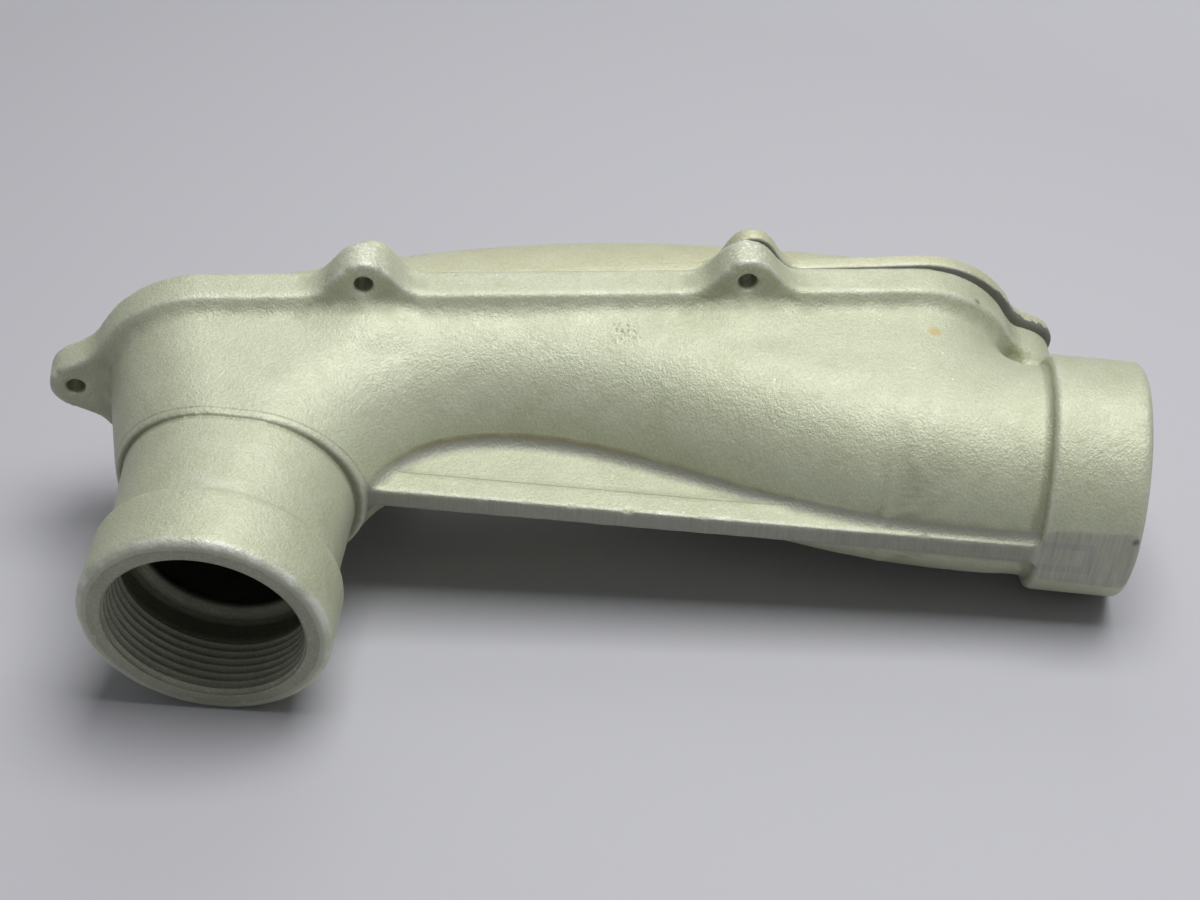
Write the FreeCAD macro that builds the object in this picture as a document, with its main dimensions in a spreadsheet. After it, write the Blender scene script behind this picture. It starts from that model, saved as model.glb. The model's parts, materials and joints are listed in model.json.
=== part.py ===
"""Elbow conduit body with a slanted cover opening, and its domed cover.

Everything is modelled in the casting frame, in millimetres: the origin is where the axes of the two
hubs cross, +X runs out of the end hub, -Y runs out of the back hub, and the casting is symmetrical
about Z = 0. The last step lays both pieces down as they rest, with the mouth of the back hub as origin.
"""
import FreeCAD
import Part
import math
import os

Vector = FreeCAD.Vector

SIZES = {
    # hubs
    "back_reach": (112.3, "end hub axis to the mouth of the back hub"),
    "end_reach": (314.3, "back hub axis to the mouth of the end hub"),
    "back_hub_radius": (43.3, "outer radius of the back hub"),
    "back_hub_length": (26.7, "length of the back hub collar"),
    "end_hub_radius": (42.7, "outer radius of the end hub"),
    "end_hub_length": (34.0, "length of the end hub collar"),
    "rim_rounding": (3.2, "rounding of the hub rims"),
    "shoulder_rounding": (2.0, "rounding where a collar steps down to its tube"),
    "thread_radius": (35.1, "wall of the 2-1/2 inch conduit thread, at its pitch line"),
    "thread_length": (32.0, "depth of the threaded wall"),
    "throat_radius": (30.5, "smooth integral bushing behind the thread"),
    "throat_length": (6.5, "length of the integral bushing"),
    # tubes and chamber
    "casting_wall": (6.5, "wall of the chamber and the tubes"),
    "tube_radius": (38.2, "outer radius of the tube behind the end hub"),
    "neck_radius": (39.3, "outer radius of the neck at the back hub collar"),
    "neck_step": (1.2, "step of the chamber's lower edge over the neck"),
    "neck_length": (35.6, "back hub collar to the chamber's lower edge"),
    "chamber_half_width": (38.5, "half width of the chamber"),
    "heel_left": (43.0, "back hub axis to the chamber's left wall, at the neck"),
    "heel_lean": (19.7, "lean of the left wall away from the neck, degrees"),
    "throat_right": (41.0, "back hub axis to the chamber's right wall, at the neck"),
    "bend_foot": (13.6, "back hub collar to where the inside bend starts"),
    "bend_run": (62.0, "run of the inside bend"),
    "bend_crest": (15.7, "end hub axis down to the highest point of the inside bend"),
    "slope_end": (39.3, "end hub collar back to where the slope meets the end tube"),
    # slanted flange
    "flange_angle": (9.0, "slant of the cover opening, degrees"),
    "seam_offset": (17.9, "casting origin to the flange's machined face"),
    "flange_thickness": (12.8, "thickness of the body flange"),
    "flange_half_width": (43.6, "half width and end radius of the flange"),
    "flange_left": (64.8, "back hub axis to the flange's left end, along the slant"),
    "flange_right": (1.5, "end hub collar back to the flange's right end"),
    "flange_root": (4.0, "rounding between the flange's back and the chamber"),
    "lug_radius": (9.5, "radius of the screw lugs"),
    "lug_root": (10.0, "rounding between a lug and the flange edge"),
    "left_lug_out": (5.7, "flange's left end to the left screw"),
    "right_lug_out": (3.7, "flange's right end to the right screw"),
    "side_lug_shift": (2.5, "middle of the flange to the middle of the side screws"),
    "side_lug_share": (0.4, "half pitch of the side screws over half the flange's length"),
    "side_lug_out": (48.7, "centre plane to the side screws"),
    "tapped_radius": (3.4, "wall of the tapped screw holes"),
    "boss_depth": (27.0, "length of the lug boss over the end tube"),
    "boss_hole_depth": (18.0, "depth of the blind tapped hole in that boss"),
    # web under the bend
    "web_thickness": (7.0, "web plate under the bend"),
    "web_rim_thickness": (8.1, "thickened rim of the web"),
    "web_rim_height": (10.0, "height of the thickened rim"),
    "web_edge": (40.74, "end hub axis to the ground edge of the web, at the end hub's mouth"),
    "web_slope": (1.09, "slope of the ground edge, degrees"),
    # cover
    "cover_inset": (1.8, "cover flange narrower than the body flange, each side"),
    "cover_lug_radius": (8.5, "radius of the cover's lugs"),
    "cover_plate": (6.6, "thickness of the cover flange"),
    "cover_wall": (5.0, "wall of the dome"),
    "cover_hole_radius": (4.3, "clearance holes of the cover"),
    "dome_half_width": (37.0, "half width of the dome at the flange"),
    "dome_foot": (3.0, "machined face to the widest section of the dome"),
    "dome_rise": (46.6, "rise of the dome above that section, at its middle"),
    "dome_margin": (5.8, "flange's end to where the dome's crest meets that section"),
    "dome_straight_share": (0.771, "part of the dome's run with parallel sides"),
    "cover_slide": (4.0, "how far the loose cover has slid towards the end hub"),
    "cover_skew": (1.8, "how far the loose cover has turned on the flange, degrees"),
    "cover_pivot_shift": (28.0, "middle of the flange to where the cover has turned"),
}

DERIVED = {
    "flange_length": "=end_reach - end_hub_length - flange_right + flange_left",
    "flange_middle": "=flange_length / 2 - flange_left",
    "flange_half_span": "=flange_length / 2 - flange_half_width",
    "left_lug_at": "=-flange_left - left_lug_out",
    "right_lug_at": "=flange_length - flange_left + right_lug_out",
    "side_lug_middle": "=flange_middle - side_lug_shift",
    "side_lug_pitch": "=side_lug_share * flange_length / 2",
    "dome_run": "=flange_length / 2 - dome_margin",
    "dome_straight": "=dome_straight_share * dome_run",
    "cover_pivot": "=flange_middle + cover_pivot_shift",
    "shoulder_at": "=end_reach - end_hub_length",
    "collar_at": "=back_reach - back_hub_length",
    "neck_top": "=collar_at - neck_length",
}

doc = FreeCAD.newDocument("conduit_body")
sheet = doc.addObject("Spreadsheet::Sheet", "sizes")
for row, (alias, (value, meaning)) in enumerate(SIZES.items(), start=1):
    sheet.set(f"A{row}", meaning)
    sheet.set(f"B{row}", str(value))
    sheet.setAlias(f"B{row}", alias)
for row, (alias, formula) in enumerate(DERIVED.items(), start=len(SIZES) + 1):
    sheet.set(f"A{row}", "worked out")
    sheet.set(f"B{row}", formula)
    sheet.setAlias(f"B{row}", alias)
doc.recompute()


class Sizes:
    """The values of the sheet as attributes."""

    def __getattr__(self, alias):
        return float(sheet.get(alias))


v = Sizes()
slant = math.radians(v.flange_angle)
TO_CASTING = FreeCAD.Placement(Vector(), FreeCAD.Rotation(Vector(0, 0, 1), v.flange_angle))


def bind(thing, **expressions):
    """Bind properties of a document object to the sheet; a double underscore stands for a dot."""
    for name, expression in expressions.items():
        thing.setExpression(name.replace("__", "."), expression)
    return thing


def feature(name, shape, placement=None):
    """Put a shape that no primitive or sketch gives into the document."""
    thing = doc.addObject("Part::Feature", name)
    thing.Shape = shape
    if placement is not None:
        thing.Placement = placement
    return thing


def fuse(name, things):
    """Fuse document objects."""
    joined = doc.addObject("Part::MultiFuse", name)
    joined.Shapes = things
    return joined


def common(name, things):
    """Keep what document objects share."""
    shared = doc.addObject("Part::MultiCommon", name)
    shared.Shapes = things
    return shared


def cut(name, base, tool):
    """Cut one document object with another."""
    rest = doc.addObject("Part::Cut", name)
    rest.Base = base
    rest.Tool = tool
    return rest


# ---------------------------------------------------------------- chamber: sections round the bend


def racetrack(near, inward, depth, half_width):
    """Closed wire in the plane of inward and Z: two half circles joined by two straight sides.

    near is the outermost point of the near half circle, depth the distance from it to the far one.
    """
    side = Vector(0, 0, half_width)
    near_mid = near + inward * half_width
    far_mid = near + inward * (depth - half_width)
    edges = [
        Part.Arc(near_mid - side, near, near_mid + side).toShape(),
        Part.makeLine(near_mid + side, far_mid + side),
        Part.Arc(far_mid + side, near + inward * depth, far_mid - side).toShape(),
        Part.makeLine(far_mid - side, near_mid - side),
    ]
    return Part.Wire(edges)


BEND = Vector(v.throat_right + v.bend_run, v.bend_foot - v.collar_at, 0)
SEAM_NORMAL = Vector(-math.sin(slant), math.cos(slant), 0)
PAST_SEAM = 1.2 * v.chamber_half_width  # sections run this far past the machined face and are cut there
SUNK = v.shoulder_rounding  # how far one form is sunk into the next before they are joined


def bend_radius(angle):
    """Distance from the bend's centre to its inside curve, a superellipse."""
    power = 2.5
    across = abs(math.cos(angle) / v.bend_run) ** power
    up = abs(math.sin(angle) / (-BEND.y - v.bend_crest)) ** power
    return (across + up) ** (-1.0 / power)


def far_reach(ray, inset):
    """Distance from the bend's centre to the left wall, or to well past the machined face."""
    lean = math.tan(math.radians(v.heel_lean))
    run = BEND.x + v.heel_left
    upright = run / max(-ray.x, 0.01)
    leaning = (run + lean * (BEND.y + v.neck_top)) / max(-ray.x - lean * ray.y, 0.01)
    seam = (v.seam_offset - SEAM_NORMAL.dot(BEND)) / SEAM_NORMAL.dot(ray)
    return min(max(upright, leaning) - inset, seam + PAST_SEAM)


def underside(x):
    """Height of the underside beyond the bend: a smooth step down to the end tube."""
    along = min(max((x - BEND.x) / (v.shoulder_at - v.slope_end - BEND.x), 0.0), 1.0)
    return -v.bend_crest - (v.tube_radius - v.bend_crest) * along * along * (3.0 - 2.0 * along)


def chamber_loft(inset, lowest):
    """Loft of the chamber's sections up the neck from lowest, round the bend and along the slope."""
    width = v.chamber_half_width - inset
    left = Vector(-1, 0, 0)
    wires = []
    for y in (lowest, (lowest + BEND.y) / 2.0):
        near = Vector(v.throat_right - inset, y, 0)
        wires.append(racetrack(near, left, v.throat_right + v.heel_left - 2.0 * inset, width))
    for degrees in range(180, 80, -10):
        angle = math.radians(degrees)
        ray = Vector(math.cos(angle), math.sin(angle), 0)
        start = bend_radius(angle) + inset
        wires.append(racetrack(BEND + ray * start, ray, far_reach(ray, inset) - start, width))
    for share in (0.1, 0.2, 0.32, 0.43, 0.54, 0.68, 0.82, 1.0):
        x = BEND.x + share * (v.shoulder_at + SUNK - BEND.x)
        low = underside(x) + inset
        seam = (v.seam_offset + x * math.sin(slant)) / math.cos(slant)
        wires.append(racetrack(Vector(x, low, 0), Vector(0, 1, 0), seam + PAST_SEAM - low, width))
    return Part.makeLoft(wires, True, False)


def stadium(name, radius, low, thickness):
    """Round-ended plate in the flange frame: a box and two cylinders, from low, as expressions."""
    turned = "sizes.flange_angle"
    parts = []
    box = doc.addObject("Part::Box", name + "_middle")
    bind(box, Length="2 * sizes.flange_half_span", Width=thickness, Height=f"2 * ({radius})")
    bind(box, Placement__Base__x="sizes.flange_middle - sizes.flange_half_span")
    bind(box, Placement__Base__y=low, Placement__Base__z=f"-({radius})")
    parts.append(box)
    for end, sign in (("left", "-"), ("right", "+")):
        along = f"sizes.flange_middle {sign} sizes.flange_half_span"
        parts.append(pin(f"{name}_{end}", radius, along, low, "0", thickness))
    joined = fuse(name, parts)
    return joined


def pin(name, radius, along, low, across, length):
    """Cylinder square to the machined face, in the flange frame."""
    made = doc.addObject("Part::Cylinder", name)
    made.Placement = FreeCAD.Placement(Vector(), FreeCAD.Rotation(Vector(1, 0, 0), -90))
    bind(made, Radius=radius, Height=length)
    bind(made, Placement__Base__x=along, Placement__Base__y=low, Placement__Base__z=across)
    return made


LUGS = {
    "left": ("sizes.left_lug_at", "0"),
    "right": ("sizes.right_lug_at", "0"),
    "side_a": ("sizes.side_lug_middle - sizes.side_lug_pitch", "sizes.side_lug_out"),
    "side_b": ("sizes.side_lug_middle + sizes.side_lug_pitch", "sizes.side_lug_out"),
    "side_c": ("sizes.side_lug_middle - sizes.side_lug_pitch", "-sizes.side_lug_out"),
    "side_d": ("sizes.side_lug_middle + sizes.side_lug_pitch", "-sizes.side_lug_out"),
}


def lugged_plate(name, radius, lug_radius, low, thickness):
    """Flange plate: the round-ended plate with six lugs, their roots rounded."""
    parts = [stadium(name + "_plan", radius, low, thickness)]
    for place, (along, across) in LUGS.items():
        parts.append(pin(f"{name}_lug_{place}", lug_radius, along, low, across, thickness))
    raw = fuse(name + "_raw", parts)
    raw.Refine = True
    doc.recompute()
    rounded = doc.addObject("Part::Fillet", name)
    rounded.Base = raw
    roots = []
    for number, edge in enumerate(raw.Shape.Edges, start=1):
        straight = isinstance(edge.Curve, Part.Line)
        if straight and abs(edge.tangentAt(edge.FirstParameter).y) > 0.99:
            roots.append((number, v.lug_root, v.lug_root))
    rounded.Edges = roots
    return rounded


def root_edges(shape):
    """Numbers of the edges where the flange's back meets the chamber's walls."""
    back = v.seam_offset - v.flange_thickness
    found = []
    for number, edge in enumerate(shape.Edges, start=1):
        middle = edge.valueAt(0.5 * (edge.FirstParameter + edge.LastParameter))
        past_end = max(abs(middle.x - v.flange_middle) - v.flange_half_span, 0.0)
        off_spine = math.hypot(past_end, middle.z)
        if abs(middle.y - back) < 0.01 and abs(off_spine - v.chamber_half_width) < 0.01:
            found.append(number)
    return found


def lug_holes(name, radius, low, depth):
    """Drills for the six screws, in the flange frame."""
    drills = []
    for place, (along, across) in LUGS.items():
        drills.append(pin(f"{name}_{place}", radius, along, low, across, depth))
    return drills


def barrel(name, axis, radius, start, length, rims):
    """Turned cylinder along a casting axis; rims maps "start" and "end" to the rounding there."""
    made = doc.addObject("Part::Cylinder", name + "_blank" if rims else name)
    bind(made, Radius=radius, Height=length)
    if axis == "x":
        made.Placement = FreeCAD.Placement(Vector(), FreeCAD.Rotation(Vector(0, 1, 0), 90))
        bind(made, Placement__Base__x=start)
    else:
        made.Placement = FreeCAD.Placement(Vector(), FreeCAD.Rotation(Vector(1, 0, 0), -90))
        bind(made, Placement__Base__y=start)
    if not rims:
        return made
    doc.recompute()
    rounded = doc.addObject("Part::Fillet", name)
    rounded.Base = made
    middle = made.Shape.CenterOfMass
    picked = []
    for number, edge in enumerate(made.Shape.Edges, start=1):
        if not isinstance(edge.Curve, Part.Circle):
            continue
        offset = edge.Curve.Center - middle
        side = "end" if offset.x + offset.y > 0 else "start"
        if side in rims:
            picked.append((number, rims[side], rims[side]))
    rounded.Edges = picked
    return rounded


def slab(name, length, height, thickness, start):
    """Upright slab on the ground edge of the web, in the plane of the hub axes."""
    made = doc.addObject("Part::Box", name)
    made.Placement = FreeCAD.Placement(Vector(), FreeCAD.Rotation(Vector(0, 0, 1), v.web_slope))
    bind(made, Length=length, Width=height, Height=thickness)
    drop = f"sizes.web_edge + (sizes.end_reach - ({start})) * tan(sizes.web_slope * 1 deg)"
    bind(made, Placement__Base__x=start, Placement__Base__y=f"-({drop})")
    bind(made, Placement__Base__z=f"-({thickness}) / 2")
    return made


# ---------------------------------------------------------------- body
plate = lugged_plate(
    "flange",
    "sizes.flange_half_width",
    "sizes.lug_radius",
    "sizes.seam_offset - sizes.flange_thickness",
    "sizes.flange_thickness",
)
skirt_depth = "(sizes.flange_thickness + 2 * sizes.flange_root)"
skirt = stadium("skirt", "sizes.chamber_half_width", f"sizes.seam_offset - {skirt_depth}", skirt_depth)
skirted = fuse("flange_on_skirt", [plate, skirt])
skirted.Refine = True
doc.recompute()
rooted = doc.addObject("Part::Fillet", "flange_rooted")
rooted.Base = skirted
rooted.Edges = [(number, v.flange_root, v.flange_root) for number in root_edges(skirted.Shape)]
along, across = LUGS["right"]
boss_foot = "sizes.seam_offset - sizes.boss_depth"
boss = pin("boss", "sizes.lug_radius", along, boss_foot, across, "sizes.boss_depth")
flange = fuse("flange_and_boss", [rooted, boss])
flange.Placement = TO_CASTING

plan = stadium(
    "chamber_plan",
    "sizes.chamber_half_width",
    "-2 * sizes.back_reach",
    "2 * sizes.back_reach + sizes.seam_offset - 1",
)
plan.Placement = TO_CASTING
above_neck = doc.addObject("Part::Box", "above_neck")
bind(above_neck, Length="2 * sizes.end_reach", Width="2 * sizes.back_reach")
bind(above_neck, Height="4 * sizes.back_hub_radius")
bind(above_neck, Placement__Base__x="-sizes.end_reach", Placement__Base__y="-sizes.neck_top")
bind(above_neck, Placement__Base__z="-2 * sizes.back_hub_radius")
outside = feature("chamber_outside", chamber_loft(0.0, -v.collar_at))
chamber = common("chamber", [outside, plan, above_neck])

narrow = v.chamber_half_width - v.neck_step
halfway = -0.5 * (v.neck_top + v.collar_at)
neck_sections = [
    (SUNK - v.neck_top, v.throat_right, v.heel_left - v.neck_step, narrow),
    (halfway, v.neck_radius, v.neck_radius + v.neck_step, 0.5 * (narrow + v.neck_radius)),
    (-SUNK - v.collar_at, v.neck_radius, v.neck_radius + 0.25 * v.neck_step, v.neck_radius),
]
neck_wires = []
for y, right, left, half_width in neck_sections:
    neck_wires.append(racetrack(Vector(right, y, 0), Vector(-1, 0, 0), right + left, half_width))
neck = feature("neck", Part.makeLoft(neck_wires, True, False))

back_hub = barrel(
    "back_hub",
    "y",
    "sizes.back_hub_radius",
    "-sizes.back_reach",
    "sizes.back_hub_length",
    {"start": v.rim_rounding, "end": v.shoulder_rounding},
)
end_hub = barrel(
    "end_hub",
    "x",
    "sizes.end_hub_radius",
    "sizes.shoulder_at",
    "sizes.end_hub_length",
    {"start": v.shoulder_rounding, "end": v.rim_rounding},
)
tube_start = "sizes.shoulder_at - 0.6 * sizes.tube_radius"
tube = barrel("tube", "x", "sizes.tube_radius - 0.3", tube_start, "0.7 * sizes.tube_radius", {})
web_start = "sizes.throat_right - 4"
web_length = "sizes.shoulder_at + sizes.end_hub_length / 2 - sizes.throat_right"
web = slab("web", web_length, "0.75 * sizes.web_edge", "sizes.web_thickness", web_start)
web_rim = slab("web_rim", web_length, "sizes.web_rim_height", "sizes.web_rim_thickness", web_start)
casting = fuse("casting", [chamber, neck, back_hub, end_hub, tube, flange, web, web_rim])

# hollow
opening = stadium(
    "opening",
    "sizes.chamber_half_width - sizes.casting_wall",
    "-2 * sizes.back_reach",
    "2 * sizes.back_reach + 2 * sizes.seam_offset",
)
opening.Placement = TO_CASTING
back_throat = -v.back_reach + v.thread_length + v.throat_length
hollow = feature("chamber_inside", chamber_loft(v.casting_wall, back_throat))
cavity = common("cavity", [hollow, opening])
run = barrel(
    "tube_bore",
    "x",
    "sizes.tube_radius - sizes.casting_wall",
    "sizes.shoulder_at - 2 * sizes.tube_radius",
    "2 * sizes.tube_radius + sizes.end_hub_length - sizes.thread_length - sizes.throat_length",
    {},
)
back_thread = barrel(
    "back_thread", "y", "sizes.thread_radius", "-sizes.back_reach - 1", "sizes.thread_length + 1", {}
)
back_bushing = barrel(
    "back_bushing",
    "y",
    "sizes.throat_radius",
    "-sizes.back_reach",
    "sizes.thread_length + sizes.throat_length + 1",
    {},
)
thread_foot = "sizes.end_reach - sizes.thread_length"
end_thread = barrel("end_thread", "x", "sizes.thread_radius", thread_foot, "sizes.thread_length + 1", {})
end_bushing = barrel(
    "end_bushing",
    "x",
    "sizes.throat_radius",
    "sizes.end_reach - sizes.thread_length - sizes.throat_length - 1",
    "sizes.thread_length + 2",
    {},
)
drills = []
for place, (along, across) in LUGS.items():
    depth = "sizes.boss_hole_depth" if place == "right" else "2 * sizes.flange_thickness"
    low = f"sizes.seam_offset - {depth}"
    drills.append(pin(f"tapped_{place}", "sizes.tapped_radius", along, low, across, f"{depth} + 1"))
tapped = fuse("tapped_holes", drills)
tapped.Placement = TO_CASTING
ground_start = "sizes.shoulder_at - sizes.end_hub_radius"
hub = "sizes.end_hub_radius"
ground = slab("ground_flat", f"3 * {hub}", hub, f"4 * {hub}", ground_start)
ground_run = "(sizes.end_hub_length + sizes.end_hub_radius) * tan(sizes.web_slope * 1 deg)"
bind(ground, Placement__Base__y=f"-sizes.end_hub_radius - sizes.web_edge - {ground_run}")
removed = fuse(
    "removed",
    [cavity, run, back_thread, back_bushing, end_thread, end_bushing, tapped, ground],
)
body = cut("conduit_body", casting, removed)

# ---------------------------------------------------------------- cover, in the flange frame


def dome(name, inset, shares, foot):
    """Loft of half-elliptic sections, placed by shares of the dome's run, closed straight across at foot."""
    wires = []
    for share in shares:
        d = share * v.dome_run
        closing = max(abs(d) - v.dome_straight, 0.0) / v.dome_half_width
        half = v.dome_half_width * math.sqrt(1.0 - closing * closing) - inset
        rise = v.dome_rise * (1.0 - (d / v.dome_run) ** 2) - inset
        s = v.flange_middle + d
        base = v.seam_offset + v.dome_foot
        points = []
        for step in range(17):
            turn = math.pi * step / 16.0
            points.append(Vector(s, base + rise * math.sin(turn), half * math.cos(turn)))
        arch = Part.BSplineCurve()
        arch.interpolate(points)
        feet = [Vector(s, foot, -half), Vector(s, foot, half)]
        edges = [arch.toShape()]
        edges.append(Part.makeLine(points[-1], feet[0]))
        edges.append(Part.makeLine(feet[0], feet[1]))
        edges.append(Part.makeLine(feet[1], points[0]))
        wires.append(Part.Wire(edges))
    return feature(name, Part.makeLoft(wires, True, False))


SHARES = (0.0, 0.15, 0.3, 0.45, 0.6, 0.72, 0.807, 0.867, 0.904)
inner_shares = sorted(set([-share for share in SHARES] + list(SHARES)))
outer_shares = [-0.964, -0.94] + inner_shares + [0.94, 0.964]
cover_plate = lugged_plate(
    "cover_flange",
    "sizes.flange_half_width - sizes.cover_inset",
    "sizes.cover_lug_radius",
    "sizes.seam_offset",
    "sizes.cover_plate",
)
crown = dome("dome_outside", 0.0, outer_shares, v.seam_offset + 0.3 * v.dome_foot)
crown_hollow = dome("dome_inside", v.cover_wall, inner_shares, v.seam_offset - 1.0)
below = "sizes.seam_offset - 1"
cover_holes = lug_holes("clearance", "sizes.cover_hole_radius", below, "sizes.cover_plate + 2")
cover_solid = fuse("cover_solid", [cover_plate, crown])
cover_removed = fuse("cover_removed", [crown_hollow] + cover_holes)
cover = cut("cover", cover_solid, cover_removed)
doc.recompute()
pivot = Vector(v.cover_pivot, 0, 0)
LOOSE = FreeCAD.Placement(
    Vector(v.cover_slide, 0, 0), FreeCAD.Rotation(Vector(0, 1, 0), -v.cover_skew), pivot
)

# ---------------------------------------------------------------- rest: three points touch the ground


def lowest_of_ring(centre, axis, radius, ball, up):
    """Lowest point of a ring rounded by a ball, for an up direction."""
    across = up - axis * up.dot(axis)
    return centre - across.normalize() * radius - up * ball


def settle():
    """Up direction for which both hub rims and the lower side lug touch one plane."""
    lug = Vector(v.side_lug_middle + v.side_lug_pitch, v.seam_offset - v.flange_thickness, -v.side_lug_out)
    rings = (
        (Vector(0, v.rim_rounding - v.back_reach, 0), Vector(0, 1, 0), v.back_hub_radius - v.rim_rounding,
         v.rim_rounding),
        (Vector(v.end_reach - v.rim_rounding, 0, 0), Vector(1, 0, 0), v.end_hub_radius - v.rim_rounding,
         v.rim_rounding),
        (TO_CASTING.multVec(lug), SEAM_NORMAL, v.lug_radius, 0.0),
    )
    up = Vector(0, 0.2, 1).normalize()
    for _ in range(60):
        a, b, c = [lowest_of_ring(*ring, up) for ring in rings]
        up = (b - a).cross(c - a).normalize()
        if up.z < 0:
            up = up * -1.0
    return up


up = settle()
forward = (Vector(1, 0, 0) - up * up.x).normalize()
aside = up.cross(forward)
turn = FreeCAD.Rotation(forward, aside, up, "ZXY").inverted()
REST = FreeCAD.Placement(Vector(), turn) * FreeCAD.Placement(Vector(0, v.back_reach, 0), FreeCAD.Rotation())
body.Placement = REST
cover.Placement = REST * TO_CASTING * LOOSE
doc.recompute()

for thing in doc.Objects:
    if "Invalid" in thing.State or "Error" in thing.State:
        raise RuntimeError(f"{thing.Name} did not compute: {thing.State}")
os.makedirs("parts", exist_ok=True)
for piece in (body, cover):
    if piece.Shape.isNull() or not piece.Shape.isValid() or len(piece.Shape.Solids) != 1:
        raise RuntimeError(f"{piece.Name} is not one valid solid")
    piece.Label = piece.Name
    piece.Shape.exportStep(f"parts/{piece.Name}.step")
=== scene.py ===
"""Looks of the cast elbow conduit body and its loose domed cover.

The casting frame is in millimetres: its origin is where the axes of the two hubs cross, +X runs out of
the end hub, -Y out of the back hub, and Z is square to the plane of the hub axes. The flange frame is
the casting frame turned about Z by the slant of the cover opening: s along it, h out of it, z as before.
Both castings are built as distance fields on a grid, so that every junction gets the soft root of a
sand casting, and the field's zero surface becomes the mesh.
"""

import bpy
import json
import math
import numpy as np
from mathutils import Matrix, Vector


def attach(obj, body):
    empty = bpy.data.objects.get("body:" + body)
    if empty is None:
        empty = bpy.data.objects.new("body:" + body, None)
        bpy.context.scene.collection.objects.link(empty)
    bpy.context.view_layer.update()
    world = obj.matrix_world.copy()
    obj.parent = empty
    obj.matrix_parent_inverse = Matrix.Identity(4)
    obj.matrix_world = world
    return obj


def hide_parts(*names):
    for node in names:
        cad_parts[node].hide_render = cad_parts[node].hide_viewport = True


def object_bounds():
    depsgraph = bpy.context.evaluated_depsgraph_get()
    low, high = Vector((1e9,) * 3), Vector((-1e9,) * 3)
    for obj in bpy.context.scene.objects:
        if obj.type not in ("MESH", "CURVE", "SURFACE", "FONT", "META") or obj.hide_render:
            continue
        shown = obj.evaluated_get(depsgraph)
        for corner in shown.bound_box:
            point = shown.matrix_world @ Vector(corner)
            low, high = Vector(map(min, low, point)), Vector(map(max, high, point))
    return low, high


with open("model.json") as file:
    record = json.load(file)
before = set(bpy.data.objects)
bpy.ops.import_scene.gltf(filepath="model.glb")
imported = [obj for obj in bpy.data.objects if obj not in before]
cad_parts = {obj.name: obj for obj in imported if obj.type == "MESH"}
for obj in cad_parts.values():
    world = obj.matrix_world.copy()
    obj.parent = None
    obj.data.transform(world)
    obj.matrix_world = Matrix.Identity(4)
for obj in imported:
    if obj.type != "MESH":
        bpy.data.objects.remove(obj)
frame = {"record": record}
cad_low, cad_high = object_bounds()

# ---------------------------------------------------------------- sizes, mm
# steps of the distance fields' grid, and corners of the room that holds the body on it
STEP, QUICK_STEP = 1.25, 2.0
BODY_ROOM = (-84, -116, -62), (318, 68, 62)
# hubs
BACK_MOUTH, END_MOUTH = -112.3, 314.3
BACK_R, END_R = 43.3, 42.7
COLLAR_Y, SHOULDER_X = -85.6, 280.3
PITCH = 3.175
THREAD_LENGTH = 33.0
THREAD_MOUTH_R, GROOVE_DEPTH = 34.9, 1.3
THREAD_ROOM_R = 36.9
THROAT_DEPTH = 38.5
BUSHING_R = 30.5
# chamber, neck and tube
HALF = 38.5
WALL = 6.5
RING_Y = -49.0
NECK_LENGTH = 35.6
BEND = (103.0, -72.0)
BEND_RUN, BEND_RISE, BEND_CREST = 62.0, 56.3, -15.7
HEEL_LEAN = math.radians(19.7)
TUBE_R = 38.2
TUBE_START, TUBE_END = 225, 311
# flange, lugs and boss
SLANT = math.radians(9.0)
SEAM = 17.9
FLANGE_BACK = 5.1
FLANGE_R = 43.6
MIDDLE, SPAN = 107.0, 128.2
LUG_R = 9.5
SIDE_LUG_Z = 48.7
END_LUGS = ((-70.5, 0.0), (282.5, 0.0))
SIDE_LUGS = tuple((along, side * SIDE_LUG_Z) for side in (1, -1) for along in (35.8, 173.2))
LUGS = END_LUGS + SIDE_LUGS
SCREW_HOLE_R, COVER_HOLE_R = 3.5, 4.3
SWELL_RADII, SWELL_Z = (17.0, 11.5, 7.0), 34.3
BOSS_FOOT = -8.0
# web
WEB_HALF, WEB_START, WEB_END = 4.05, 30, 296
RIM_HEIGHT, RIM_STEP = 9.2, 0.6
EDGE_Y, EDGE_SLOPE = -40.74, math.tan(math.radians(1.09))
# dome of the cover, and how the loose cover lies
DOME_HALF, DOME_RISE, DOME_WALL = 37, 46.6, 5.0
COVER_SLIDE, COVER_SKEW, COVER_PIVOT = 4.0, math.radians(1.8), 135.0
# nicks in the web's ground edge, as x and reach, and chips in the lugs, as s, h and z
WEB_NICKS = (
    (57, 1.5), (84, 1.1), (100, 1.4), (116, 1.7), (136, 1.9), (163, 1.6), (171, 1.2), (205, 1.3), (240, 1.5),
)
LUG_CHIPS = (
    (29.0, 5.0, 55.6), (33.5, 4.8, 58.2), (43.0, 5.0, 55.0), (166.0, 5.0, 55.2), (178.6, 4.8, 56.8),
    (20.5, 5.0, 47.0), (-77.0, 5.0, 7.0), (-79.8, 5.0, 2.0),
)
CHIP_REACH = 1.5
# corners of the room that holds the cover on the grid, in the flange frame
COVER_ROOM = (-84, SEAM - 4, -62), (298, SEAM + 54, 62)
# field value far outside a form
OUTSIDE = 50.0

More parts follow.
